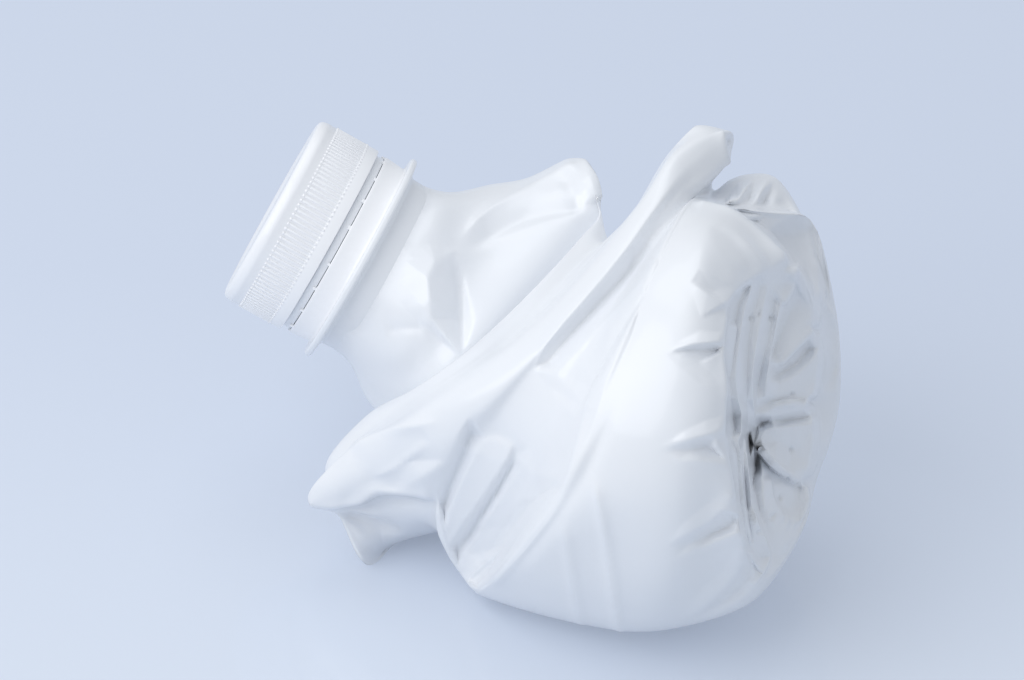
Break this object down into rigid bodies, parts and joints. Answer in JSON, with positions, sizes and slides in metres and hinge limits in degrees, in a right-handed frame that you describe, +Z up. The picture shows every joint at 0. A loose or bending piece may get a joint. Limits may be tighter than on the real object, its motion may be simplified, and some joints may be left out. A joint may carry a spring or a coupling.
{
  "type": "crushed plastic bottle",
  "caption": "Opaque white plastic bottle, emptied and crushed: body folded over on itself, ribbed screw cap closed, tamper ring torn off it and loose on the neck.",
  "frame": {"origin": "middle of the footprint's bounding box, on the surface that the bottle lies on", "axes": "+Z up, +X towards the end where the base is, -Y towards the side that the picture shows; the neck leans out and up towards -X"},
  "size_m": [0.127, 0.1296, 0.0888],
  "materials": {
    "bottle plastic": "glossy, opaque white blown plastic",
    "cap plastic": "satin white moulded plastic",
    "tamper ring plastic": "satin white moulded plastic"
  },
  "bodies": {
    "bottle": {"bottle": "bottle plastic", "tamper_band": "tamper ring plastic"},
    "cap": {"cap": "cap plastic"}
  },
  "joints": [
    {"name": "cap_turn", "type": "hinge", "parent": "bottle", "child": "cap", "pos_m": [-0.03517, 0.03635, 0.04913], "axis": [-0.8725, 0.1814, 0.4537], "range_deg": [0, 540]}
  ]
}
